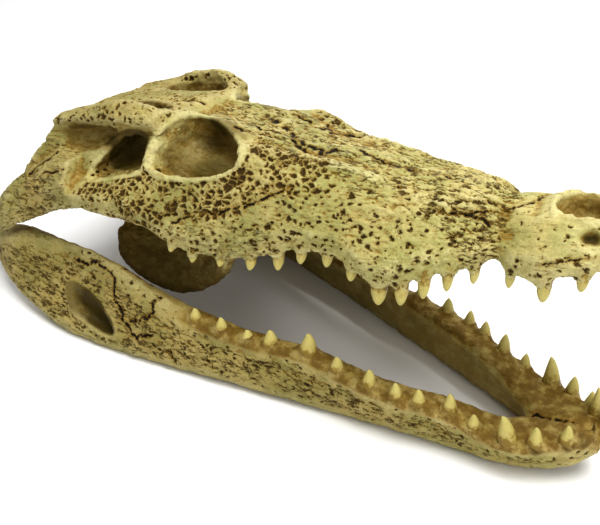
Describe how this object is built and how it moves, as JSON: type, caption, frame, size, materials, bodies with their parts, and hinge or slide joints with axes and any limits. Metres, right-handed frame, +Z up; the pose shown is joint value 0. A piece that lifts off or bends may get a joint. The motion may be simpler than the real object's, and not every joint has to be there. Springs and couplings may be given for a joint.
{
  "type": "crocodile skull",
  "caption": "Crocodile skull with its lower jaw held open, life-size museum cast in pitted, stained bone, lying on the edge of the jaw.",
  "frame": {"origin": "middle of the skull's box, on the floor under the lower jaw", "axes": "+X to the tip of the snout, +Y to the animal's left, +Z up"},
  "size_m": [0.396, 0.1674, 0.1391],
  "materials": {
    "bone": "aged cream bone, pitted and stained brown, low sheen"
  },
  "bodies": {
    "root": {"premaxilla": "bone", "skull_table": "bone", "nasals": "bone", "frontal": "bone", "pterygoids": "bone", "maxilla_left": "bone", "maxilla_right": "bone", "quadrate_left": "bone", "quadrate_right": "bone", "jugal_left": "bone", "jugal_right": "bone", "braincase": "bone", "dentary_left": "bone", "articular_left": "bone", "surangular_left": "bone", "dentary_right": "bone", "articular_right": "bone", "surangular_right": "bone"}
  },
  "joints": []
}
